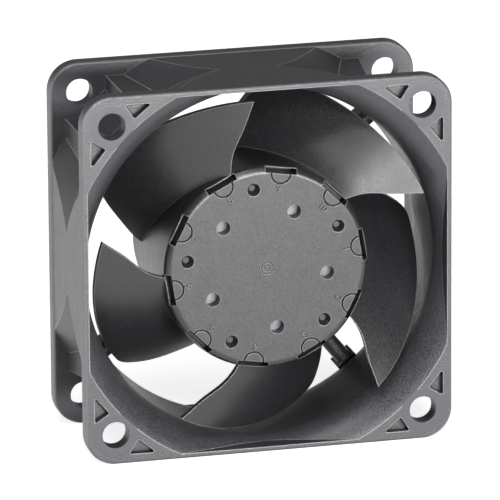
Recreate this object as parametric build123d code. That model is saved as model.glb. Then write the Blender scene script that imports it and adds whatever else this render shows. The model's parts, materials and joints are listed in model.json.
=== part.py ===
"""Compact axial fan, 60 mm frame: a square moulded housing with a round duct, and a five-blade
rotor that turns on two small ball bearings around a four-pole brushless motor.

Every piece is drawn about the local Z axis, which points out of the intake, with heights taken
from depths behind the front face. The finished pieces are then stood upright, so that the intake
faces -Y, the exhaust faces +Y and +Z is up. The origin is the middle of the frame.
"""
import os
from math import cos, radians, sin, sqrt

from build123d import *

# Frame and mounting holes, in millimetres
frame_side = 59.6
frame_depth = 25.0
flange_thickness = 2.7
corner_radius = 4.8
flange_edge_radius = 0.35
hole_inset = 4.8
corner_count = 4
hole_diameter = 4.3

# Duct: a throat between two bell mouths, cut off flat where the frame is narrower than the bell
side_wall = 1.5
mouth_hole_wall = 0.75
front_bell_length = 6.0
rear_bell_length = 8.5
mouth_rim = 0.8
duct_wall = 1.7
cone_margin = 0.2
cone_side_relief = 0.15
block_recess = 2.3
pocket_reach = 4.1
pocket_draft = 6.0

# Triangular recesses beside each front screw hole: corners measured outwards from the hole's centre
recess_depth = 1.5
recess_corners = ((-6.5, 3.35), (-2.1, 3.35), (-3.6, 1.0))
recess_corner_radius = 0.25

# Motor base and the four struts that carry it
base_radius = 16.0
base_rim_wall = 1.4
base_floor = 1.2
base_length = 5.0
base_boss_margin = 0.25
strut_count = 4
strut_first_angle = 39.0
strut_width = 2.6
strut_length = 4.4
strut_nose_radius = 1.15
lead_strut_angle = -51.0
lead_block_width = 3.6
lead_block_start = 28.5
lead_channel_width = 1.6
lead_channel_depth = 2.0

# Impeller hub
hub_radius = 16.5
hub_face = 1.2
hub_plate = 2.0
hub_wall = 1.6
hub_base_gap = 1.3
hub_rim_radius = 1.2
slot_count = 10
slot_first_angle = 9.3
slot_length = 5.1
slot_width = 0.85
slot_depth = 3.0
slot_bar = 0.32
pad_radius = 1.7
pad_groove_width = 0.28
pad_groove_depth = 0.4
dimple_count = 5
dimple_first_angle = 27.3
dimple_ring_radius = 13.0
dimple_diameter = 2.1
dimple_floor_diameter = 1.0
dimple_depth = 1.3
window_first_angle = 63.3
window_ring_radius = 9.9
window_diameter = 2.2
gate_ring_diameters = (2.05, 1.1)
gate_ring_width = 0.14
gate_ring_depth = 0.1

# Blades: share of the span from hub to tip, and the angle there, along each edge
blade_count = 5
blade_tip_gap = 0.9
blade_thickness = 1.1
blade_corner_radius = 3.0
blade_curl_root = 0.62
blade_curl_tip = 0.42
leading_edge = (
    (-0.128, 39.2), (0.006, 37.6), (0.248, 34.2), (0.428, 30.6), (0.596, 27.3), (0.776, 24.9), (1.0, 22.5)
)
trailing_edge = (
    (-0.128, 105.3), (0.069, 102.2), (0.269, 96.4), (0.491, 91.0), (0.691, 86.6), (0.85, 82.7), (1.0, 79.0)
)
leading_depth_root = 1.9
leading_depth_tip = 0.35
trailing_base_gap_root = 2.8
trailing_base_gap_tip = 2.0
blade_root_overrun = 0.2
blade_tip_overrun = 0.1
blade_edge_overrun = 0.08
span_steps = 7
chord_steps = 10

# Running fits, press fits and the air gap
press_clearance = 0.01
glue_clearance = 0.03
bearing_clearance = 0.03
board_bore_clearance = 0.15
air_gap = 0.4
cutter_overrun = 1.0

# Rotor inside the hub
yoke_plate = 0.9
yoke_wall = 0.9
yoke_setback = 0.7
magnet_wall = 1.6
magnet_front = 6.0
magnet_setback = 0.4
shaft_diameter = 3.0
shaft_front_setback = 0.5
shaft_tail = 1.0
shaft_chamfer = 0.3
bush_nose_radius = 2.6
bush_flange_radius = 4.0
bush_flange_thickness = 1.0
bush_barrel_radius = 3.0
bush_back = 6.4
spring_wire = 0.3
spring_turns = 3
washer_thickness = 0.3
washer_radius = 2.6
clip_thickness = 0.5
clip_radius = 2.9
clip_groove_depth = 0.35
clip_gap_angle = 70.0

# Ball bearings: 3 x 8 x 4
bearing_outer_diameter = 8.0
bearing_width = 4.0
ring_thickness = 0.7
ball_diameter = 1.44
ball_count = 7
shield_thickness = 0.2
shield_inset = 0.15
shield_gap = 0.1
front_bearing_front = 8.6
rear_bearing_inset = 4.6

# Bearing tube and its end cap
tube_wall = 1.0
tube_lip = 0.4
tube_setback = 0.4
tube_shoulder = 0.6
cap_thickness = 1.4
cap_edge_chamfer = 0.25

# Stator
pole_count = 4
core_front = 9.2
core_board_gap = 4.8
core_ring_wall = 1.4
pole_width = 3.2
pole_shoe_thickness = 1.5
pole_shoe_gap = 2.6
insulator_plate = 0.7
insulator_wall = 0.9
insulator_skirt = 0.5
coil_thickness = 1.2
coil_corner_radius = 1.0
coil_end_clearance = 0.15
pin_diameter = 0.6
pin_boss_radius = 0.9
pin_boss_height = 1.1
pin_ring_radius = 7.0
pin_tail = 1.0

# Circuit board and what it carries
board_edge_clearance = 0.7
board_thickness = 1.0
solder_radius = 0.55
solder_height = 0.8
hall_size = (3.0, 1.6, 1.4)
hall_offset = 0.1
hall_angle = 20.0
chip_size = (5.0, 4.0, 1.5)
chip_ring_radius = 10.2
chip_angle = 200.0
capacitor_size = (3.5, 2.8, 1.9)
capacitor_angle = 140.0
diode_size = (4.3, 2.6, 2.1)
diode_angle = 262.0
resistor_size = (2.0, 1.25, 0.55)
resistor_angles = (60.0, 85.0, 330.0)
body_chamfer = 0.2

# Derived sizes that several pieces share
half_side = frame_side / 2
half_depth = frame_depth / 2
hole_pitch = frame_side - 2 * hole_inset
throat_radius = half_side - side_wall
mouth_radius = hole_pitch / 2 * sqrt(2) - hole_diameter / 2 - mouth_hole_wall
valley_radius = throat_radius + duct_wall
cone_radius = mouth_radius + cone_margin
tip_radius = throat_radius - blade_tip_gap
base_front = frame_depth - base_length
strut_front = frame_depth - strut_length
hub_back = base_front - hub_base_gap
trailing_depth_root = base_front - trailing_base_gap_root
trailing_depth_tip = base_front - trailing_base_gap_tip
shaft_radius = shaft_diameter / 2
bearing_radius = bearing_outer_diameter / 2
tube_radius = bearing_radius + tube_wall
yoke_radius = hub_radius - hub_wall - glue_clearance
yoke_front = hub_face + hub_plate
yoke_back = hub_back - yoke_setback
yoke_inner_radius = yoke_radius - yoke_wall
magnet_radius = yoke_inner_radius - glue_clearance
magnet_inner_radius = magnet_radius - magnet_wall
magnet_back = yoke_back - magnet_setback
shaft_front = yoke_front + shaft_front_setback
core_radius = magnet_inner_radius - air_gap
core_bore = tube_radius + glue_clearance
core_back = base_front - core_board_gap
base_boss_radius = pin_ring_radius - solder_radius - base_boss_margin
core_ring_radius = core_bore + core_ring_wall
board_radius = base_radius - base_rim_wall - board_edge_clearance
board_front = base_front
board_back = board_front + board_thickness
pin_back = board_back + pin_tail
hall_ring_radius = magnet_inner_radius + hall_offset
rear_bearing_front = frame_depth - rear_bearing_inset - bearing_width
tube_front = front_bearing_front - tube_lip
tube_back = frame_depth - tube_setback
cap_front = tube_back - cap_thickness
inner_ring_radius = shaft_radius + press_clearance + ring_thickness
outer_ring_bore = bearing_radius - ring_thickness
ball_ring_radius = (inner_ring_radius + outer_ring_bore) / 2
clip_front = rear_bearing_front + bearing_width + washer_thickness
shaft_back = clip_front + clip_thickness + shaft_tail


def height(depth):
    """Height of a level that lies a given depth behind the front face."""
    return half_depth - depth


def disc(radius, front, back):
    """A round plate or rod between two depths."""
    return Pos(0, 0, height(back)) * extrude(Circle(radius), back - front)


def ring(outer, inner, front, back):
    """A round tube between two depths."""
    return Pos(0, 0, height(back)) * extrude(Circle(outer) - Circle(inner), back - front)


def polar(radius, angle):
    """A point in the plane of the fan."""
    return (radius * cos(radians(angle)), radius * sin(radians(angle)))


def around(shape, count, first_angle=0.0):
    """The same shape repeated about the axis."""
    return [Rot(0, 0, first_angle + step * 360 / count) * shape for step in range(count)]


def turned(profile):
    """Revolves a half section of (radius, depth) points about the axis."""
    points = [(radius, 0, height(depth)) for radius, depth in profile]
    return revolve(make_face(Polyline(*points, close=True)), Axis.Z)


def bell_cut():
    """The air passage: a throat between two bell mouths that start tangent to it."""
    top = height(0)
    throat_top = top - front_bell_length
    throat_bottom = -top + rear_bell_length
    outline = [
        Line((0, 0, -top), (0, 0, top)),
        Line((0, 0, top), (mouth_radius, 0, top)),
        TangentArc((throat_radius, 0, throat_top), (mouth_radius, 0, top), tangent=(0, 0, 1)),
        Line((throat_radius, 0, throat_top), (throat_radius, 0, throat_bottom)),
        TangentArc((throat_radius, 0, throat_bottom), (mouth_radius, 0, -top), tangent=(0, 0, -1)),
        Line((mouth_radius, 0, -top), (0, 0, -top)),
    ]
    cut = revolve(make_face(Wire(outline)), Axis.Z)
    flat_side = frame_side - 2 * mouth_rim
    return cut & Box(flat_side, flat_side, frame_depth)


def flange(front):
    """A rounded square plate with softened edges."""
    plate = extrude(RectangleRounded(frame_side, frame_side, corner_radius), flange_thickness)
    plate = fillet(plate.edges().filter_by(Plane.XY), flange_edge_radius)
    return Pos(0, 0, height(front + flange_thickness)) * plate


def duct_shell():
    """Outside of the duct: two shallow cones that meet in a valley, cut flat at the frame's sides."""
    front = flange_thickness / 2
    back = frame_depth - flange_thickness / 2
    slope = (cone_radius - valley_radius) / (half_depth - flange_thickness)
    end_radius = valley_radius + slope * (half_depth - front)
    valley = (valley_radius, half_depth)
    shell = turned(((0, front), (end_radius, front), valley, (end_radius, back), (0, back)))
    side = frame_side - 2 * cone_side_relief
    return shell & Box(side, side, frame_depth)


def corner_blocks():
    """Blocks that close the frame beside each screw pocket, drafted towards the mid plane."""
    long_side = frame_side - 2 * block_recess
    short_side = hole_pitch - 2 * pocket_reach
    plan = Rectangle(long_side, short_side) + Rectangle(short_side, long_side)
    length = half_depth - flange_thickness / 2
    half = Pos(0, 0, -length) * extrude(plan, length, taper=pocket_draft)
    return half + Rot(180, 0, 0) * half


def screw_holes():
    """The four holes that run through both flanges."""
    hole = Cylinder(hole_diameter / 2, frame_depth + cutter_overrun)
    return [place * hole for place in GridLocations(hole_pitch, hole_pitch, 2, 2)]


def corner_recesses():
    """Two shallow triangles beside each screw hole in the intake face, mirrored about the diagonal."""
    triangle = make_face(Polyline(*recess_corners, close=True))
    triangle = fillet(triangle.vertices(), recess_corner_radius)
    pair = triangle + mirror(triangle, Plane((0, 0, 0), z_dir=(1, -1, 0)))
    cut = extrude(pair, recess_depth)
    corner = Pos(hole_pitch / 2, hole_pitch / 2, height(recess_depth)) * cut
    return around(corner, corner_count)


def rear_bar(start, end, width, front):
    """A straight bar along local X between two radii, from a depth to the back of the frame."""
    depth = frame_depth - front
    return Pos((start + end) / 2, 0, height(frame_depth - depth / 2)) * Box(end - start, width, depth)


def strut():
    """A strut with a rounded nose towards the rotor, from the motor base out to the duct."""
    bar = rear_bar(base_radius - base_rim_wall, cone_radius, strut_width, strut_front)
    nose = bar.edges().filter_by(Axis.X).group_by(Axis.Z)[-1]
    return fillet(nose, strut_nose_radius)


def lead_block():
    """The wider root of the strut that holds the lead channel."""
    block = rear_bar(lead_block_start, cone_radius, lead_block_width, strut_front)
    return Rot(0, 0, lead_strut_angle) * block


def lead_channel():
    """The open channel along the back of that strut, from the motor base to the edge of the frame."""
    start = base_radius - base_rim_wall - cutter_overrun
    front = frame_depth - lead_channel_depth
    return Rot(0, 0, lead_strut_angle) * rear_bar(start, half_side * sqrt(2), lead_channel_width, front)


def motor_base():
    """A shallow cup behind the rotor, with a boss for the bearing tube."""
    cup = disc(base_radius, base_front, frame_depth)
    cup -= disc(base_radius - base_rim_wall, base_front, frame_depth - base_floor)
    return cup + disc(base_boss_radius, board_back, frame_depth)


def housing():
    """Frame, duct, struts and motor base, moulded in one piece."""
    envelope = duct_shell() + corner_blocks() + flange(0) + flange(frame_depth - flange_thickness)
    shell = envelope - bell_cut()
    struts = around(strut(), strut_count, strut_first_angle)
    for bar in struts + [lead_block()]:
        shell += bar & envelope
    shell += motor_base()
    shell -= disc(tube_radius + press_clearance, board_back - cutter_overrun, frame_depth)
    for cutter in [lead_channel()] + screw_holes() + corner_recesses():
        shell -= cutter
    return shell


def hub():
    """A moulded cup: flat face with a rounded rim, and a skirt over the yoke."""
    inside = hub_radius - hub_wall
    cup = disc(hub_radius, hub_face, hub_back) - disc(inside, hub_face + hub_plate, hub_back)
    rim = cup.edges().filter_by(GeomType.CIRCLE).group_by(Axis.Z)[-1]
    return fillet(rim, hub_rim_radius)


def face_ring(outer_diameter, width, depth):
    """A fine round groove in the hub's face, centred on the axis."""
    outer = outer_diameter / 2
    return ring(outer, outer - width, hub_face, hub_face + depth)


def hub_slots():
    """Balancing slots just inside the rim, each with a half-round groove on its inner side."""
    slot_radius = hub_radius - slot_bar - slot_width / 2
    slot = Pos(slot_radius, 0, height(hub_face + slot_depth / 2)) * Box(slot_width, slot_length, slot_depth)
    pad_place = Pos(slot_radius - slot_width / 2, 0, 0)
    groove = pad_place * face_ring(2 * pad_radius, pad_groove_width, pad_groove_depth)
    inner_half = Pos(slot_radius - pad_radius, 0, height(hub_face)) * Box(
        2 * pad_radius, 2 * pad_radius, 2 * pad_groove_depth + cutter_overrun
    )
    return around(slot + (groove & inner_half), slot_count, slot_first_angle)


def hub_dimples():
    """Blind conical dimples where small balancing weights can be pressed in."""
    dimple = Cone(dimple_floor_diameter / 2, dimple_diameter / 2, dimple_depth)
    dimple = Pos(dimple_ring_radius, 0, height(hub_face + dimple_depth / 2)) * dimple
    return around(dimple, dimple_count, dimple_first_angle)


def hub_windows():
    """Round holes through the hub's face, with the steel yoke behind them."""
    window = Pos(window_ring_radius, 0, 0) * disc(window_diameter / 2, hub_face, yoke_front)
    return around(window, blade_count, window_first_angle)


def gate_marks():
    """Fine rings round the moulding gate at the centre of the face."""
    return [face_ring(diameter, gate_ring_width, gate_ring_depth) for diameter in gate_ring_diameters]


def edge_points(edge):
    """Plan points of a blade edge that is given as shares of the span and angles."""
    span = tip_radius - hub_radius
    return [polar(hub_radius + share * span, angle) for share, angle in edge]


def angle_at(edge, share):
    """Angle of a blade edge at a share of the span, by straight steps between its points."""
    for (low, start), (high, end) in zip(edge, edge[1:]):
        if share <= high or (high, end) == edge[-1]:
            return start + (end - start) * (share - low) / (high - low)


def blade_outline():
    """Plan of one blade: swept leading edge, tip arc with a rounded rear corner, trailing edge."""
    leading = Spline(*edge_points(leading_edge))
    trailing = Spline(*edge_points(trailing_edge))
    tip_middle = (leading_edge[-1][1] + trailing_edge[-1][1]) / 2
    root_middle = (leading_edge[0][1] + trailing_edge[0][1]) / 2
    root_radius = hub_radius + leading_edge[0][0] * (tip_radius - hub_radius)
    tip = ThreePointArc(leading @ 1, polar(tip_radius, tip_middle), trailing @ 1)
    root = ThreePointArc(leading @ 0, polar(root_radius, root_middle), trailing @ 0)
    plan = make_face(Wire([leading, tip, trailing, root]))
    corner = plan.vertices().sort_by_distance(Vector(*polar(tip_radius, trailing_edge[-1][1])))[0]
    return fillet(corner, blade_corner_radius)


def blade_point(share, chord):
    """A point of the blade's middle surface, at a share of the span and of the chord."""
    start = angle_at(leading_edge, share)
    angle = start + chord * (angle_at(trailing_edge, share) - start)
    lead_depth = leading_depth_root + share * (leading_depth_tip - leading_depth_root)
    trail_depth = trailing_depth_root + share * (trailing_depth_tip - trailing_depth_root)
    curl = blade_curl_root + share * (blade_curl_tip - blade_curl_root)
    bend = curl * chord + (1 - curl) * chord**2
    depth = lead_depth + (trail_depth - lead_depth) * bend + blade_thickness / 2
    x, y = polar(hub_radius + share * (tip_radius - hub_radius), angle)
    return Vector(x, y, height(depth))


def blade():
    """One swept, cambered blade: a thickened surface trimmed to its plan."""
    span = 1 + blade_root_overrun + blade_tip_overrun
    chord = 1 + 2 * blade_edge_overrun
    shares = [-blade_root_overrun + span * step / span_steps for step in range(span_steps + 1)]
    chords = [-blade_edge_overrun + chord * step / chord_steps for step in range(chord_steps + 1)]
    surface = Face.make_surface_from_array_of_points([[blade_point(s, c) for c in chords] for s in shares])
    sheet = Solid.thicken(surface, blade_thickness / 2) + Solid.thicken(surface, -blade_thickness / 2)
    trim = Pos(0, 0, -half_depth) * extrude(blade_outline(), frame_depth)
    return sheet & trim


def impeller():
    """Hub and blades, moulded in one piece."""
    rotor = hub()
    for vane in around(blade(), blade_count):
        rotor += vane
    for cutter in hub_slots() + hub_dimples() + hub_windows() + gate_marks():
        rotor -= cutter
    return rotor


def rotor_yoke():
    """Deep-drawn steel cup that lines the hub."""
    cup = disc(yoke_radius, yoke_front, yoke_back)
    cup = fillet(cup.edges().filter_by(GeomType.CIRCLE).group_by(Axis.Z)[-1], yoke_wall)
    cup -= disc(yoke_inner_radius, yoke_front + yoke_plate, yoke_back)
    return cup - disc(bush_nose_radius + glue_clearance, yoke_front, yoke_front + yoke_plate)


def ring_magnet():
    """Plain ring of bonded ferrite inside the yoke."""
    return ring(magnet_radius, magnet_inner_radius, magnet_front, magnet_back)


def shaft_bush():
    """Turned brass bush that joins shaft and yoke."""
    plate_back = yoke_front + yoke_plate
    bush = disc(bush_nose_radius, yoke_front, plate_back)
    bush += disc(bush_flange_radius, plate_back, plate_back + bush_flange_thickness)
    bush += disc(bush_barrel_radius, plate_back + bush_flange_thickness, bush_back)
    return bush - disc(shaft_radius + press_clearance, yoke_front, bush_back)


def rotor_shaft():
    """Ground steel shaft with chamfered ends and a groove for the retaining clip."""
    shaft = disc(shaft_radius, shaft_front, shaft_back)
    shaft = chamfer(shaft.edges().filter_by(GeomType.CIRCLE), shaft_chamfer)
    groove_radius = shaft_radius - clip_groove_depth
    return shaft - ring(shaft_radius + cutter_overrun, groove_radius, clip_front, clip_front + clip_thickness)


def preload_spring():
    """Helical spring that pushes the front inner ring away from the bush."""
    wire_radius = spring_wire / 2
    coil_radius = shaft_radius + spring_wire
    length = front_bearing_front - bush_back - spring_wire - 2 * press_clearance
    path = Helix(length / spring_turns, length, coil_radius)
    section = Plane(origin=path @ 0, z_dir=path % 0) * Circle(wire_radius)
    start = height(front_bearing_front - wire_radius - press_clearance)
    return Pos(0, 0, start) * sweep(section, path)


def retaining_clip():
    """Open spring-steel ring that snaps into the shaft's groove."""
    inside = shaft_radius - clip_groove_depth + press_clearance
    plate = ring(clip_radius, inside, clip_front, clip_front + clip_thickness)
    half_gap = clip_gap_angle / 2
    far = 2 * clip_radius
    mouth = make_face(Polyline((0, 0), polar(far, -half_gap), polar(far, half_gap), close=True))
    return plate - Pos(0, 0, height(clip_front + clip_thickness)) * extrude(mouth, clip_thickness)


def thrust_washer():
    """Thin washer between the rear inner ring and the clip."""
    front = rear_bearing_front + bearing_width
    return ring(washer_radius, shaft_radius + press_clearance, front, front + washer_thickness)


def ball_groove(front):
    """The round track that both rings share."""
    middle = height(front + bearing_width / 2)
    return Pos(0, 0, middle) * Torus(ball_ring_radius, ball_diameter / 2 + bearing_clearance)


def bearing_outer_ring(front):
    """Outer ring with its ball track and a seat for each shield."""
    return ring(bearing_radius, outer_ring_bore, front, front + bearing_width) - ball_groove(front)


def bearing_inner_ring(front):
    """Inner ring with its ball track."""
    bore = shaft_radius + press_clearance
    return ring(inner_ring_radius, bore, front, front + bearing_width) - ball_groove(front)


def bearing_balls(front):
    """The row of balls in one bearing."""
    ball = Pos(ball_ring_radius, 0, height(front + bearing_width / 2)) * Sphere(ball_diameter / 2)
    return Compound(around(ball, ball_count))


def bearing_shields(front):
    """A pair of thin steel shields that close the bearing and clear the inner ring."""
    inner = inner_ring_radius + shield_gap
    near = front + shield_inset
    far = front + bearing_width - shield_inset - shield_thickness
    plates = [ring(outer_ring_bore, inner, level, level + shield_thickness) for level in (near, far)]
    return Compound(plates)


def bearing_tube():
    """Turned brass tube with a shoulder between its two bearing seats."""
    seat = bearing_radius + press_clearance
    tube = disc(tube_radius, tube_front, tube_back)
    tube -= disc(seat, tube_front, front_bearing_front + bearing_width)
    tube -= disc(bearing_radius - tube_shoulder, tube_front, tube_back)
    return tube - disc(seat, rear_bearing_front, tube_back)


def bore_cap():
    """Plain plug that closes the tube behind the rear bearing."""
    cap = disc(bearing_radius, cap_front, tube_back)
    return chamfer(cap.edges().filter_by(GeomType.CIRCLE), cap_edge_chamfer)


def stator_plan(margin=0.0):
    """Plan of the laminations: a ring, four poles and their curved shoes, grown by a margin."""
    shoe_back = core_radius - pole_shoe_thickness
    plan = Circle(core_ring_radius + margin)
    shoes = Circle(core_radius) - Circle(shoe_back - margin)
    for step in range(pole_count):
        angle = 360 * step / pole_count
        arm = Pos(shoe_back / 2, 0) * Rectangle(shoe_back + margin, pole_width + 2 * margin)
        gap_reach = 2 * (pole_shoe_thickness + margin) + cutter_overrun
        gap = Pos(core_radius, 0) * Rectangle(gap_reach, pole_shoe_gap)
        plan += Rot(0, 0, angle) * arm
        shoes -= Rot(0, 0, angle + 180 / pole_count) * gap
    return plan + shoes


def stator_core():
    """Stack of steel laminations on the bearing tube."""
    plan = stator_plan() - Circle(core_bore)
    return Pos(0, 0, height(core_back)) * extrude(plan, core_back - core_front)


def insulator():
    """One half of the winding former, drawn with its seat on the core at height zero."""
    lip_inner = core_radius - pole_shoe_thickness
    covered = stator_plan(insulator_skirt) & Circle(lip_inner - insulator_skirt)
    plate = extrude(stator_plan() + covered - Circle(core_bore), insulator_plate)
    wall_height = insulator_plate + insulator_wall
    collar = extrude(Circle(core_ring_radius) - Circle(core_bore), wall_height)
    lip = extrude(stator_plan() - Circle(lip_inner), wall_height)
    skirt_depth = (core_back - core_front) / 2 - glue_clearance
    skirt = Pos(0, 0, -skirt_depth) * extrude(covered - stator_plan(glue_clearance), skirt_depth)
    return plate + collar + lip + skirt


def front_insulator():
    """The half of the former that faces the intake."""
    return Pos(0, 0, height(core_front)) * insulator()


def winding_pin_places():
    """Places of the pins, between the poles."""
    return [Pos(*polar(pin_ring_radius, (step + 0.5) * 360 / pole_count)) for step in range(pole_count)]


def rear_insulator():
    """The half that faces the circuit board, with bosses for the winding pins."""
    former = Pos(0, 0, height(core_back)) * Rot(180, 0, 0) * insulator()
    boss_back = core_back + insulator_plate + pin_boss_height
    for place in winding_pin_places():
        former += place * disc(pin_boss_radius, core_back, boss_back)
        former -= place * disc(pin_diameter / 2 + press_clearance, core_back + insulator_plate, boss_back)
    return former


def winding_pins():
    """Tinned pins that carry the winding ends through the board."""
    start = core_back + insulator_plate
    return Compound([place * disc(pin_diameter / 2, start, pin_back) for place in winding_pin_places()])


def stator_coils():
    """One winding on each pole, drawn as a rounded block round the former."""
    inner_start = core_ring_radius + insulator_skirt + coil_end_clearance
    inner_end = core_radius - pole_shoe_thickness - insulator_skirt - coil_end_clearance
    inner_width = pole_width + 2 * insulator_skirt + 2 * glue_clearance
    inner_height = core_back - core_front + 2 * insulator_plate + 2 * glue_clearance
    wound_height = inner_height + 2 * coil_thickness
    wound_width = inner_width + 2 * coil_thickness
    section = RectangleRounded(wound_height, wound_width, coil_corner_radius)
    section -= Rectangle(inner_height, inner_width)
    middle = height((core_front + core_back) / 2)
    plane = Plane(origin=(inner_start, 0, middle), x_dir=(0, 0, 1), z_dir=(1, 0, 0))
    coil = extrude(plane * section, inner_end - inner_start)
    return Compound(around(coil, pole_count))


def circuit_board():
    """Round board behind the stator, with holes for the winding pins."""
    board = ring(board_radius, tube_radius + board_bore_clearance, board_front, board_back)
    for place in winding_pin_places():
        board -= place * disc(pin_diameter / 2 + glue_clearance, board_front, board_back)
    return board


def solder_joints():
    """Cones of solder round each pin on the back of the board."""
    joint = Cone(solder_radius, pin_diameter / 2 + glue_clearance, solder_height)
    joint = Pos(0, 0, height(board_back + solder_height / 2)) * Rot(180, 0, 0) * joint
    bore = disc(pin_diameter / 2 + press_clearance, board_back, pin_back)
    return Compound([place * (joint - bore) for place in winding_pin_places()])


def chip(size, radius, angle, front):
    """A moulded electronic part that lies flat on the board, with its free edges chamfered."""
    length, width, thickness = size
    body = Box(length, width, thickness)
    body = chamfer(body.edges().filter_by(Axis.Z), body_chamfer)
    x, y = polar(radius, angle)
    return Pos(x, y, height(front + thickness / 2)) * Rot(0, 0, angle + 90) * body


def hall_sensor():
    """Magnetic sensor on the front of the board, under the edge of the ring magnet."""
    return chip(hall_size, hall_ring_radius, hall_angle, board_front - hall_size[2])


def driver_chip():
    """Motor driver on the back of the board."""
    return chip(chip_size, chip_ring_radius, chip_angle, board_back)


def filter_capacitor():
    """Supply capacitor on the back of the board."""
    return chip(capacitor_size, chip_ring_radius, capacitor_angle, board_back)


def protection_diode():
    """Reverse-polarity diode on the back of the board."""
    return chip(diode_size, chip_ring_radius, diode_angle, board_back)


def chip_resistors():
    """Small resistors on the back of the board."""
    return Compound([chip(resistor_size, chip_ring_radius, angle, board_back) for angle in resistor_angles])


def stand_up(shape):
    """Turns a finished piece from the drawing's axis to the upright fan."""
    return Rot(90, 0, 0) * shape


pieces = {
    "housing": housing(),
    "bearing_tube": bearing_tube(),
    "bore_cap": bore_cap(),
    "front_bearing_outer_ring": bearing_outer_ring(front_bearing_front),
    "front_bearing_balls": bearing_balls(front_bearing_front),
    "front_bearing_shields": bearing_shields(front_bearing_front),
    "front_bearing_inner_ring": bearing_inner_ring(front_bearing_front),
    "rear_bearing_outer_ring": bearing_outer_ring(rear_bearing_front),
    "rear_bearing_balls": bearing_balls(rear_bearing_front),
    "rear_bearing_shields": bearing_shields(rear_bearing_front),
    "rear_bearing_inner_ring": bearing_inner_ring(rear_bearing_front),
    "stator_core": stator_core(),
    "front_insulator": front_insulator(),
    "rear_insulator": rear_insulator(),
    "stator_coils": stator_coils(),
    "winding_pins": winding_pins(),
    "circuit_board": circuit_board(),
    "solder_joints": solder_joints(),
    "hall_sensor": hall_sensor(),
    "driver_chip": driver_chip(),
    "filter_capacitor": filter_capacitor(),
    "protection_diode": protection_diode(),
    "chip_resistors": chip_resistors(),
    "impeller": impeller(),
    "rotor_yoke": rotor_yoke(),
    "ring_magnet": ring_magnet(),
    "shaft_bush": shaft_bush(),
    "rotor_shaft": rotor_shaft(),
    "preload_spring": preload_spring(),
    "thrust_washer": thrust_washer(),
    "retaining_clip": retaining_clip(),
}

os.makedirs("parts", exist_ok=True)
for name, piece in pieces.items():
    export_step(stand_up(piece), f"parts/{name}.step")
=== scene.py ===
# %% [markdown]
# # A compact cooling fan in a moulded housing
#
# The fan is 60 mm square and 25 mm deep. A dark housing carries a brushless motor behind a
# five-blade impeller, and only the motor's steel cup peeps out through five small holes in the
# hub. The solids come from the CAD model. This lesson gives them their plastics and metals,
# raises the small index numbers on the hub, and sets up the light and the camera.

import json
import math

import bmesh
import bpy
from mathutils import Matrix, Vector


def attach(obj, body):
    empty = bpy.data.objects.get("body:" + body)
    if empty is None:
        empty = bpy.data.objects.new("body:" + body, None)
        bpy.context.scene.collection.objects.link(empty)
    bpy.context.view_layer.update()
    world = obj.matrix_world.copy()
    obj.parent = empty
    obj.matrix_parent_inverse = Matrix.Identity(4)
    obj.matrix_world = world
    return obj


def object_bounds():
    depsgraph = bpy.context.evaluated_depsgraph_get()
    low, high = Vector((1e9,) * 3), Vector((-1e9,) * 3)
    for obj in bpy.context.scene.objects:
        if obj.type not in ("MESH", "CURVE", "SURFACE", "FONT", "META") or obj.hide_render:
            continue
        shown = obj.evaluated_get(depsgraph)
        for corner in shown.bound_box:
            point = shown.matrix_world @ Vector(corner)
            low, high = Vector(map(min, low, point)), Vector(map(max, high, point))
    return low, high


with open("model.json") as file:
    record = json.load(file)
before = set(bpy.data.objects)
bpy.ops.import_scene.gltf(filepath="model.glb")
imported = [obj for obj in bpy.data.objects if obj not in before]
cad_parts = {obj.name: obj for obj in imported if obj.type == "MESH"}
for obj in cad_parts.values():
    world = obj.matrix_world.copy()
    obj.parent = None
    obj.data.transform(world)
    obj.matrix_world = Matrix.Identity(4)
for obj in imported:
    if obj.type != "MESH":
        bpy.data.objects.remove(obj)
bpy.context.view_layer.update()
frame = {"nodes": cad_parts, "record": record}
MM = 0.001

# %% [markdown]
# ## The camera
#
# A catalogue picture of a small part is taken from far away with a long lens, so that its edges
# stay almost parallel. This one looks down at the front of the fan from its upper left, about
# a metre off. The camera could follow an empty, but a position and an aim point are enough.

# %% Camera
CAMERA_PLACE = Vector((-248.6, -973.5, 288.1)) * MM
CAMERA_AIM = Vector((0.1, 0.0, -0.2)) * MM
CAMERA_ROLL = math.radians(-0.41)
FOCAL_LENGTH = 475.0

camera = bpy.data.objects.new("camera", bpy.data.cameras.new("camera"))
bpy.context.scene.collection.objects.link(camera)
camera.data.lens = FOCAL_LENGTH
camera.data.sensor_width = 36.0
camera.data.clip_start = 0.05
aim = (CAMERA_AIM - CAMERA_PLACE).to_track_quat("-Z", "Y").to_matrix().to_4x4()
camera.matrix_world = Matrix.Translation(CAMERA_PLACE) @ aim @ Matrix.Rotation(CAMERA_ROLL, 4, "Z")
bpy.context.scene.camera = camera
print("camera at", [round(value, 3) for value in CAMERA_PLACE], "lens", FOCAL_LENGTH, "mm")

# %% [markdown]
# ## One helper for nodes, one for colours
#
# Every material below is a small network of nodes. Adding a node always means the same three
# things: choose its kind, set its options, and fill or link its inputs. One helper does that. An
# input goes by its name, or by its number where a node has two of the same name: a Mix node keeps
# its two values at 2 and 3 with the result at output 0, and its two colours at 6 and 7 with the
# result at output 2.
#
# Colours are written as the hex values that a paint program shows, and one function turns them
# into the linear values that the shader works with.


# %% Node and colour helpers
def linear(hex_colour):
    """A colour such as #5a5a5c as linear red, green, blue and alpha."""
    parts = [int(hex_colour[i : i + 2], 16) / 255 for i in (1, 3, 5)]
    return tuple(p / 12.92 if p <= 0.04045 else ((p + 0.055) / 1.055) ** 2.4 for p in parts) + (1.0,)


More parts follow.
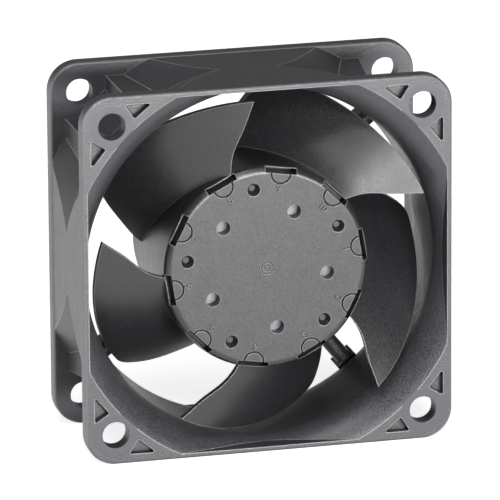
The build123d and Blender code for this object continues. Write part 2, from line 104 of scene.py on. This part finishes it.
def add_node(material, kind, options=None, inputs=None):
    """Adds one node. Each input is a plain value, or a (node, output) pair to link from."""
    node = material.node_tree.nodes.new("ShaderNode" + kind)
    for name, value in (options or {}).items():
        setattr(node, name, value)
    for name, value in (inputs or {}).items():
        if isinstance(value, tuple) and isinstance(value[0], bpy.types.Node):
            material.node_tree.links.new(value[0].outputs[value[1]], node.inputs[name])
        else:
            node.inputs[name].default_value = value
    return node


def new_material(name):
    """An empty node material with a Principled shader joined to its output."""
    material = bpy.data.materials.new(name)
    material.use_nodes = True
    material.node_tree.nodes.clear()
    shader = add_node(material, "BsdfPrincipled")
    add_node(material, "OutputMaterial", inputs={"Surface": (shader, "BSDF")})
    return material, shader


def per_mm(size):
    """The scale of a texture, in object coordinates, whose features are size millimetres wide."""
    return 1.0 / (size * MM)


# %% [markdown]
# ## Glass-filled moulded plastic
#
# The housing and the impeller are moulded from black polyester with glass fibre in it. Their
# corners are painted paler, as a painted highlight along the edges, and their creases are painted
# darker, as painted shade, and made rougher. The Bevel node finds the corners and the Ambient
# Occlusion node finds the creases, so neither needs any painting by hand.

# %% Corners and creases
EDGE_REACH = 0.22
CREASE_REACH = 0.5
FACE_SAMENESS, CORNER_SAMENESS = 0.998, 0.96
CREASE_OPENNESS, FACE_OPENNESS = 0.55, 0.95


def corners_and_creases(material):
    """The softened normal, a painted highlight mask that is 1 on open corners, and a painted shade mask
    that is 0 in creases.
    """
    softened = add_node(material, "Bevel", {"samples": 4}, {"Radius": EDGE_REACH * MM})
    true = add_node(material, "NewGeometry")
    sameness = add_node(
        material,
        "VectorMath",
        {"operation": "DOT_PRODUCT"},
        {0: (softened, "Normal"), 1: (true, "Normal")},
    )
    limits = {"From Min": FACE_SAMENESS, "From Max": CORNER_SAMENESS}
    corner = add_node(material, "MapRange", inputs={"Value": (sameness, "Value"), **limits})
    # Painted shade: the creases found here darken the colour, and they also raise the roughness.
    openness = add_node(material, "AmbientOcclusion", {"samples": 6}, {"Distance": CREASE_REACH * MM})
    limits = {"From Min": CREASE_OPENNESS, "From Max": FACE_OPENNESS}
    out_of_creases = add_node(material, "MapRange", inputs={"Value": (openness, "AO"), **limits})
    # Painted highlight: corners that lie out of the creases take the paler colour through this mask.
    painted_highlight_mask = add_node(
        material, "Math", {"operation": "MULTIPLY"}, {0: (corner, "Result"), 1: (out_of_creases, "Result")}
    )
    return softened, painted_highlight_mask, out_of_creases


# %% [markdown]
# ## Seats round the screw holes
#
# Each hole was formed by a smooth core pin with a small shoulder, so a ring of about 1.3 mm round
# the hole has no grain and looks a little bluer. A ring could be a separate mesh, but it has no
# height of its own, so it belongs to the material: folding the four corners onto one makes one
# distance do for all four.

# %% Seat mask
HOLE_FROM_CENTRE = 25.0
SEAT_RADIUS = 3.55
SEAT_BLUR = 0.2
SEAT_COLOUR = "#34353b"
SEAT_LEVEL = 0.6


def seats_round_holes(material, place):
    """1 within the smooth seat round each screw hole, 0 elsewhere."""
    folded = add_node(material, "VectorMath", {"operation": "ABSOLUTE"}, {0: (place, "Object")})
    centred = add_node(
        material,
        "VectorMath",
        {"operation": "SUBTRACT"},
        {0: (folded, "Vector"), 1: (HOLE_FROM_CENTRE * MM, 0.0, HOLE_FROM_CENTRE * MM)},
    )
    flat = add_node(
        material, "VectorMath", {"operation": "MULTIPLY"}, {0: (centred, "Vector"), 1: (1.0, 0.0, 1.0)}
    )
    reach = add_node(material, "VectorMath", {"operation": "LENGTH"}, {0: (flat, "Vector")})
    limits = {"From Min": SEAT_RADIUS * MM, "From Max": (SEAT_RADIUS - SEAT_BLUR) * MM}
    return add_node(material, "MapRange", inputs={"Value": (reach, "Value"), **limits})


# %% [markdown]
# ## Grain, clouds and flow marks
#
# The steel mould was spark-eroded, which leaves an even matte grain on the part, and the flow of
# the melt leaves soft clouds in its sheen and slow drifts in its shade. One noise at three sizes
# gives all three. A grain of about 0.12 mm is drawn twice as coarse, because a finer one would be
# lost in the picture. It drives the colour, the roughness and the height together, as on a real
# part. Nearly all of a noise lies in the middle of its range, so that middle is spread over the
# whole range of shades or roughnesses that the grain should have.

# %% Moulded plastic
GRAIN_SIZE = 0.26
CLOUD_SIZE = 2.2
FLOW_SIZE = 9.0
GRAIN_SPAN = (0.32, 0.68)
SLOW_SPAN = (0.3, 0.7)
GRAIN_SHADES = (0.6, 1.4)
FLOW_SHADES = (0.94, 1.06)
# Painted shade: how far the creases darken the colour.
PAINTED_CREASE_SHADES = (0.45, 1.0)
DUST_ROUGHNESS = 0.75
CLOUD_SHEEN = (-0.025, 0.025)


def spread(span, target):
    """The four limits with which a Map Range node carries one range to another."""
    return {"From Min": span[0], "From Max": span[1], "To Min": target[0], "To Max": target[1]}


def plastic_colour(material, colour, painted_highlight_colour, grain, flow, painted_highlight_mask, out_of_creases):
    """The base colour, shaded by grain and flow, with painted shade in the creases and a painted
    highlight on the corners.
    """
    tint = linear(colour)[:3]
    # The last step is painted shade, darkening the colour in the creases.
    for source, span, shades in (
        ((grain, "Fac"), GRAIN_SPAN, GRAIN_SHADES),
        ((flow, "Fac"), SLOW_SPAN, FLOW_SHADES),
        ((out_of_creases, "Result"), (0.0, 1.0), PAINTED_CREASE_SHADES),
    ):
        share = add_node(material, "MapRange", inputs={"Value": source, **spread(span, shades)})
        shaded = add_node(
            material, "VectorMath", {"operation": "SCALE"}, {0: tint, "Scale": (share, "Result")}
        )
        tint = (shaded, "Vector")
    # Painted highlight: the corners take the paler highlight colour.
    return add_node(
        material,
        "Mix",
        {"data_type": "RGBA"},
        {"Factor": (painted_highlight_mask, "Value"), 6: tint, 7: linear(painted_highlight_colour)},
    )


def plastic_roughness(material, sheen, depth, cloud, out_of_creases):
    """Rougher on the peaks of the grain and in the clouds, and dull with dust in the creases."""
    grained = add_node(material, "MapRange", inputs={"Value": depth, **spread(GRAIN_SPAN, sheen)})
    clouded = add_node(
        material, "MapRange", inputs={"Value": (cloud, "Fac"), **spread(SLOW_SPAN, CLOUD_SHEEN)}
    )
    open_rough = add_node(
        material, "Math", {"operation": "ADD"}, {0: (grained, "Result"), 1: (clouded, "Result")}
    )
    return add_node(
        material,
        "Mix",
        {"data_type": "FLOAT"},
        {0: (out_of_creases, "Result"), 2: DUST_ROUGHNESS, 3: (open_rough, "Value")},
    )


# %% The two mouldings
def moulded_plastic(name, colour, painted_highlight_colour, sheen, depth_mm, core_pins=None):
    """Spark-eroded, glass-filled polyester. core_pins gives the smooth seats round the holes."""
    material, shader = new_material(name)
    place = add_node(material, "TexCoord")
    softened, painted_highlight_mask, out_of_creases = corners_and_creases(material)
    spot = {"Vector": (place, "Object"), "Roughness": 0.55}
    grain, cloud, flow = (
        add_node(material, "TexNoise", inputs={"Scale": per_mm(size), "Detail": detail, **spot})
        for size, detail in ((GRAIN_SIZE, 2.0), (CLOUD_SIZE, 4.0), (FLOW_SIZE, 3.0))
    )
    body = plastic_colour(material, colour, painted_highlight_colour, grain, flow, painted_highlight_mask, out_of_creases)
    depth = (grain, "Fac")
    if core_pins:
        seat = core_pins(material, place)
        calm = add_node(
            material, "Mix", {"data_type": "FLOAT"}, {0: (seat, "Result"), 2: depth, 3: SEAT_LEVEL}
        )
        depth = (calm, 0)
        body = add_node(
            material,
            "Mix",
            {"data_type": "RGBA"},
            {"Factor": (seat, "Result"), 6: (body, 2), 7: linear(SEAT_COLOUR)},
        )
    rough = plastic_roughness(material, sheen, depth, cloud, out_of_creases)
    bump = add_node(
        material,
        "Bump",
        inputs={"Height": depth, "Distance": depth_mm * MM, "Normal": (softened, "Normal")},
    )
    material.node_tree.links.new(body.outputs[2], shader.inputs["Base Color"])
    material.node_tree.links.new(rough.outputs[0], shader.inputs["Roughness"])
    material.node_tree.links.new(bump.outputs["Normal"], shader.inputs["Normal"])
    shader.inputs["IOR"].default_value = 1.6
    print("made", name)
    return material


# The second colour in each call is the painted highlight on the corners.
# The housing's mould was eroded more coarsely: it looks greyer, and its highlights are wide.
housing_plastic = moulded_plastic(
    "glass_filled_polyester_spark_eroded", "#363639", "#b4b4ba", (0.3, 0.5), 0.05, seats_round_holes
)
# The impeller's mould is finer: it looks blacker, with a clearer sheen along each blade.
impeller_plastic = moulded_plastic(
    "glass_filled_polyester_impeller", "#232325", "#848489", (0.3, 0.38), 0.013
)

# %% [markdown]
# ## Metals
#
# A metal has no colour of its own beyond that of its reflection, so its base colour is bright
# and its finish is all in the roughness. The yoke is pressed from sheet and zinc plated, the
# bearings are ground and polished, the brass is turned, and the motor's core is a stack of
# punched sheets whose edges show as fine lines.


# %% Metals
EVEN = (1.0, 1.0, 1.0)
ROUND_THE_AXIS = (1.0, 8.0, 1.0)
IN_SHEETS = (0.1, 1.0, 0.1)


def metal(name, colour, sheen, mark_mm, stretch=EVEN, depth_mm=0.004):
    """A metal whose machining marks are noise, drawn out along the axes by stretch."""
    material, shader = new_material(name)
    place = add_node(material, "TexCoord")
    drawn = add_node(material, "Mapping", inputs={"Vector": (place, "Object"), "Scale": stretch})
    texture = {"Scale": per_mm(mark_mm), "Detail": 3.0, "Roughness": 0.6}
    marks = add_node(material, "TexNoise", inputs={"Vector": (drawn, "Vector"), **texture})
    rough = add_node(material, "MapRange", inputs={"Value": (marks, "Fac"), **spread(SLOW_SPAN, sheen)})
    bump = add_node(
        material,
        "Bump",
        inputs={"Strength": 0.4, "Distance": depth_mm * MM, "Height": (marks, "Fac")},
    )
    shader.inputs["Base Color"].default_value = linear(colour)
    shader.inputs["Metallic"].default_value = 1.0
    material.node_tree.links.new(rough.outputs["Result"], shader.inputs["Roughness"])
    material.node_tree.links.new(bump.outputs["Normal"], shader.inputs["Normal"])
    print("made", name)
    return material


# Zinc is laid down in fine crystals, so the yoke is a soft pale grey without a clear reflection.
zinc_plated_steel = metal("zinc_plated_pressed_steel", "#7e8082", (0.5, 0.66), 0.5)
# Grinding leaves fine lines round the rings, and a highlight that is drawn out across them.
ground_steel = metal("ground_bearing_steel", "#bfc1c4", (0.12, 0.22), 0.15, ROUND_THE_AXIS)
# The turning tool leaves the same lines, a little coarser, in warm yellow brass.
turned_brass = metal("turned_brass", "#d9b562", (0.2, 0.34), 0.12, ROUND_THE_AXIS)
# Wire drawn through a die is smooth and bright.
spring_steel = metal("drawn_spring_steel", "#a9acb0", (0.2, 0.34), 0.2)
# Solder has flowed and set again, so it is bright and a little uneven.
tinned_solder = metal("reflowed_solder", "#c4c6c9", (0.22, 0.34), 0.4)
# The edges of the stacked sheets show as lines 0.5 mm apart along the axis.
core_sheets = metal("punched_core_sheets", "#8d9094", (0.34, 0.5), 0.5, IN_SHEETS, 0.03)

# %% [markdown]
# ## The other motor materials
#
# These sit inside the hub, where only a cut or another view would show them. Each still gets
# its own surface: ferrite is sintered and slightly grainy, enamelled wire lies in fine turns,
# the circuit board has a woven glass base under green lacquer, and the formers are plain nylon.


# %% Sintered, moulded and lacquered parts
def dull_solid(name, colour, dark_colour, grain_mm, rough, ior, depth_mm=0.01):
    """A non-metal whose colour and height follow one grain."""
    material, shader = new_material(name)
    place = add_node(material, "TexCoord")
    texture = {"Scale": per_mm(grain_mm), "Detail": 3.0, "Roughness": 0.55}
    grain = add_node(material, "TexNoise", inputs={"Vector": (place, "Object"), **texture})
    paint = add_node(
        material,
        "Mix",
        {"data_type": "RGBA"},
        {0: (grain, "Fac"), 6: linear(dark_colour), 7: linear(colour)},
    )
    bump = add_node(
        material,
        "Bump",
        inputs={"Strength": 0.5, "Distance": depth_mm * MM, "Height": (grain, "Fac")},
    )
    material.node_tree.links.new(paint.outputs[2], shader.inputs["Base Color"])
    material.node_tree.links.new(bump.outputs["Normal"], shader.inputs["Normal"])
    shader.inputs["Roughness"].default_value = rough
    shader.inputs["IOR"].default_value = ior
    print("made", name)
    return material


# Pressed and fired powder: dark, dead matte and slightly sandy.
ferrite = dull_solid("sintered_ferrite", "#4c4b4d", "#343335", 0.2, 0.6, 1.6)
# Undyed nylon: cream, with a faint waxy sheen.
former_nylon = dull_solid("natural_nylon_former", "#d8d2c0", "#c6bfaa", 0.4, 0.45, 1.53)
# Epoxy filled with silica: nearly black and finely matte.
chip_epoxy = dull_solid("moulded_chip_epoxy", "#2d2d2f", "#212123", 0.1, 0.5, 1.55)
# Dyed nylon: dark grey, smoother than the housing.
plug_plastic = dull_solid("moulded_plug_nylon", "#4a4a4c", "#3a3a3c", 0.2, 0.5, 1.53)


# %% Enamelled wire
WIRE_DIAMETER = 0.22
# The Wave node goes through 20 radians in each unit of its scale, and a full wave takes 2 pi.
ONE_WAVE = 2.0 * math.pi / 20.0


def wound_wire(name, colour, dark_colour):
    """Enamelled copper, its turns side by side along each tooth: ridges one wire wide."""
    material, shader = new_material(name)
    place = add_node(material, "TexCoord")
    turns = add_node(
        material,
        "TexWave",
        {"wave_type": "RINGS", "rings_direction": "Y"},
        {"Vector": (place, "Object"), "Scale": per_mm(WIRE_DIAMETER) * ONE_WAVE, "Distortion": 0.6},
    )
    # Painted shade: the darker colour lies in the valleys between the turns, where the ridges sink.
    paint = add_node(
        material,
        "Mix",
        {"data_type": "RGBA"},
        {0: (turns, "Fac"), 6: linear(dark_colour), 7: linear(colour)},
    )
    ridge = add_node(
        material,
        "Bump",
        inputs={"Strength": 0.8, "Distance": 0.08 * MM, "Height": (turns, "Fac")},
    )
    material.node_tree.links.new(paint.outputs[2], shader.inputs["Base Color"])
    material.node_tree.links.new(ridge.outputs["Normal"], shader.inputs["Normal"])
    shader.inputs["Metallic"].default_value = 0.7
    shader.inputs["Roughness"].default_value = 0.3
    print("made", name)
    return material


enamelled_copper = wound_wire("enamelled_copper_wire", "#b8643a", "#7c3c1f")


# %% Circuit board
def board_laminate(name, colour, dark_colour, weave_mm):
    """Green lacquer over glass cloth, whose weave shows as a faint check."""
    material, shader = new_material(name)
    place = add_node(material, "TexCoord")
    weave = add_node(
        material,
        "TexChecker",
        inputs={
            "Vector": (place, "Object"),
            "Scale": per_mm(weave_mm),
            "Color1": linear(colour),
            "Color2": linear(dark_colour),
        },
    )
    bump = add_node(
        material, "Bump", inputs={"Strength": 0.2, "Distance": 0.01 * MM, "Height": (weave, "Fac")}
    )
    material.node_tree.links.new(weave.outputs["Color"], shader.inputs["Base Color"])
    material.node_tree.links.new(bump.outputs["Normal"], shader.inputs["Normal"])
    shader.inputs["Roughness"].default_value = 0.32
    shader.inputs["IOR"].default_value = 1.55
    print("made", name)
    return material


green_board = board_laminate("lacquered_glass_laminate", "#2f6b42", "#2a6039", 0.5)

# %% [markdown]
# ## Giving each solid its finish
#
# The record already says which finish every solid takes. The frame's objects carry their place
# in their meshes, so each material is simply put into the object's first slot.

# %% Assign
FINISH_OF_SLOT = {
    "moulded_housing": housing_plastic,
    "moulded_impeller": impeller_plastic,
    "turned_brass": turned_brass,
    "bearing_steel": ground_steel,
    "zinc_plated_steel": zinc_plated_steel,
    "laminated_steel": core_sheets,
    "ferrite": ferrite,
    "former_plastic": former_nylon,
    "enamelled_copper": enamelled_copper,
    "board_laminate": green_board,
    "solder": tinned_solder,
    "chip_body": chip_epoxy,
    "cap_plastic": plug_plastic,
    "spring_steel": spring_steel,
}
for part in frame["record"]["subparts"]:
    piece = frame["nodes"][part["node"]]
    piece.data.materials.clear()
    piece.data.materials.append(FINISH_OF_SLOT[part["material_slot"]])
print("finished", len(frame["nodes"]), "solids")

# %% [markdown]
# ## Index numbers on the hub
#
# Ten pockets stand round the hub for balancing weights, and the mould numbers them 1 to 10, one
# beside each pocket, tops outwards. They stand about a sixth of a millimetre proud of the face.
# They could be a bump pattern, but real letters catch the light on their sides, so text curves
# are extruded, turned into meshes and joined into one piece that turns with the rotor.

# %% Index numbers
HUB_FACE = -11.3
NUMBER_RING = 12.9
NUMBER_HEIGHT = 1.12
NUMBER_RAISE = 0.16
NUMBER_STROKE = 0.03
FIRST_POCKET_ANGLE = 9.3
POCKETS = 10
DIGIT_SHARE = 0.7


def raised_number(text, angle):
    """A mesh of one number, its foot towards the hub's axis, standing just proud of the face."""
    curve = bpy.data.curves.new("index_number", "FONT")
    curve.body = text
    curve.align_x = "CENTER"
    curve.align_y = "CENTER"
    curve.size = NUMBER_HEIGHT * MM / DIGIT_SHARE
    curve.extrude = NUMBER_RAISE * MM
    curve.offset = NUMBER_STROKE * MM
    curve.resolution_u = 3
    piece = bpy.data.objects.new("index_number_" + text, curve)
    bpy.context.scene.collection.objects.link(piece)
    outward = Vector((math.cos(angle), 0.0, math.sin(angle)))
    along = Vector((math.sin(angle), 0.0, -math.cos(angle)))
    facing = along.cross(outward)
    turn = Matrix((along, outward, facing)).transposed().to_4x4()
    spot = outward * NUMBER_RING * MM + Vector((0.0, HUB_FACE * MM, 0.0))
    piece.matrix_world = Matrix.Translation(spot) @ turn
    bpy.context.view_layer.update()
    mesh = bpy.data.meshes.new_from_object(piece.evaluated_get(bpy.context.evaluated_depsgraph_get()))
    mesh.transform(piece.matrix_world)
    bpy.data.objects.remove(piece)
    return mesh


# %% Join the numbers
joined = bmesh.new()
for pocket in range(POCKETS):
    angle = FIRST_POCKET_ANGLE - pocket * 360.0 / POCKETS
    joined.from_mesh(raised_number(str(pocket + 1), math.radians(angle)))
numbers_mesh = bpy.data.meshes.new("hub_index_numbers")
joined.to_mesh(numbers_mesh)
joined.free()
index_numbers = bpy.data.objects.new("hub_index_numbers", numbers_mesh)
bpy.context.scene.collection.objects.link(index_numbers)
index_numbers.data.materials.clear()
index_numbers.data.materials.append(impeller_plastic)
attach(index_numbers, "rotor")
print("raised", POCKETS, "numbers,", len(numbers_mesh.polygons), "faces")

# %% [markdown]
# ## Floor and backdrop
#
# The part stands on a white sweep. A real sweep is paper that curves up behind the part. Here a
# large disc of floor and the world behind it are enough. Both show white to the camera, and the
# floor keeps the part's soft shadow, because near the part only a share of its white is its own
# glow. Farther off, where the lamps no longer reach, the glow rises to full white.

# %% What the camera and reflections see
def share_of_rays(owner, in_reflections):
    """1 for what the camera sees directly or through glass, and a part of that in reflections."""
    path = add_node(owner, "LightPath")
    direct = add_node(
        owner,
        "Math",
        {"operation": "MAXIMUM"},
        {0: (path, "Is Camera Ray"), 1: (path, "Is Transmission Ray")},
    )
    mirrored = add_node(
        owner, "Math", {"operation": "MULTIPLY"}, {0: (path, "Is Glossy Ray"), 1: in_reflections}
    )
    return add_node(
        owner, "Math", {"operation": "MAXIMUM"}, {0: (direct, "Value"), 1: (mirrored, "Value")}
    )


# %% Floor
FLOOR_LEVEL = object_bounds()[0][2]
FLOOR_RADIUS = 3.0
FLOOR_GAP = 0.02

sweep = bmesh.new()
bmesh.ops.create_circle(sweep, cap_ends=True, segments=96, radius=FLOOR_RADIUS)
floor_mesh = bpy.data.meshes.new("floor")
sweep.to_mesh(floor_mesh)
sweep.free()
floor = bpy.data.objects.new("floor", floor_mesh)
floor.location = (0.0, 0.0, FLOOR_LEVEL - FLOOR_GAP * MM)
bpy.context.scene.collection.objects.link(floor)

# %% Paper
FLOOR_GLOW = 0.78
LIT_RADIUS = 0.35
GLOW_RADIUS = 1.2
FLOOR_IN_REFLECTIONS = 1.0

paper = bpy.data.materials.new("white_paper_sweep")
paper.use_nodes = True
paper.node_tree.nodes.clear()
seen_share = share_of_rays(paper, FLOOR_IN_REFLECTIONS)
spot = add_node(paper, "TexCoord")
away = add_node(paper, "VectorMath", {"operation": "LENGTH"}, {0: (spot, "Object")})
rise = spread((LIT_RADIUS, GLOW_RADIUS), (FLOOR_GLOW, 1.0))
white_share = add_node(paper, "MapRange", inputs={"Value": (away, "Value"), **rise})
glow = add_node(
    paper, "Math", {"operation": "MULTIPLY"}, {0: (seen_share, "Value"), 1: (white_share, "Result")}
)
matt = add_node(paper, "BsdfDiffuse", inputs={"Color": linear("#e8e8e8")})
own = add_node(paper, "Emission", inputs={"Strength": (glow, "Value")})
both = add_node(paper, "AddShader", inputs={0: (matt, "BSDF"), 1: (own, "Emission")})
add_node(paper, "OutputMaterial", inputs={"Surface": (both, "Shader")})
floor_mesh.materials.append(paper)
print("floor at", round(FLOOR_LEVEL, 5))

# %% [markdown]
# ## Light
#
# The picture was lit by a wide low lamp in front with a smaller one above it, by one at the left,
# and weakly from the top: faces that look forward or left are pale, while the top and the inside
# of the duct stay dark. Area lamps several times the size of the part give the same soft edges
# to the shadows. The world adds a low even fill and shows white where the camera looks past the
# floor. In reflections it is brighter behind the fan, where the white backdrop stands.


# %% Lamps
def soft_lamp(name, place, width, height, power):
    """A rectangular area lamp at a place in metres, turned to the middle of the fan."""
    lamp = bpy.data.objects.new(name, bpy.data.lights.new(name, "AREA"))
    lamp.data.shape = "RECTANGLE"
    lamp.data.size = width
    lamp.data.size_y = height
    lamp.data.energy = power
    lamp.visible_camera = False
    lamp.location = place
    lamp.rotation_euler = (Vector((0, 0, 0)) - Vector(place)).to_track_quat("-Z", "Y").to_euler()
    bpy.context.scene.collection.objects.link(lamp)
    print("lamp", name, power, "W")
    return lamp


soft_lamp("front_lamp", (0.17, -0.9, 0.045), 0.45, 0.16, 9.8)
soft_lamp("high_lamp", (0.0, -0.88, 0.47), 0.18, 0.18, 3.6)
soft_lamp("left_lamp", (-0.9, 0.12, 0.08), 0.35, 0.35, 3.8)
soft_lamp("top_lamp", (-0.18, -0.35, 0.8), 0.45, 0.45, 3.5)

# %% World
ROOM_FILL = 0.02
ROOM_IN_REFLECTIONS = 0.02
BACKDROP_IN_REFLECTIONS = 0.2
BACKDROP_FULL = 0.3

world = bpy.data.worlds.new("studio")
bpy.context.scene.world = world
world.use_nodes = True
world.node_tree.nodes.clear()
sky = add_node(world, "TexCoord")
direction = add_node(world, "SeparateXYZ", inputs={"Vector": (sky, "Generated")})
behind = spread((0.0, BACKDROP_FULL), (ROOM_IN_REFLECTIONS, BACKDROP_IN_REFLECTIONS))
backdrop = add_node(world, "MapRange", inputs={"Value": (direction, "Y"), **behind})
seen_share = share_of_rays(world, (backdrop, "Result"))
fill = add_node(world, "Background", inputs={"Color": linear("#ffffff"), "Strength": ROOM_FILL})
white = add_node(world, "Background", inputs={"Color": linear("#ffffff"), "Strength": 1.0})
choice = add_node(
    world,
    "MixShader",
    inputs={0: (seen_share, "Value"), 1: (fill, "Background"), 2: (white, "Background")},
)
add_node(world, "OutputWorld", inputs={"Surface": (choice, "Shader")})
bpy.context.scene.view_settings.view_transform = "Standard"
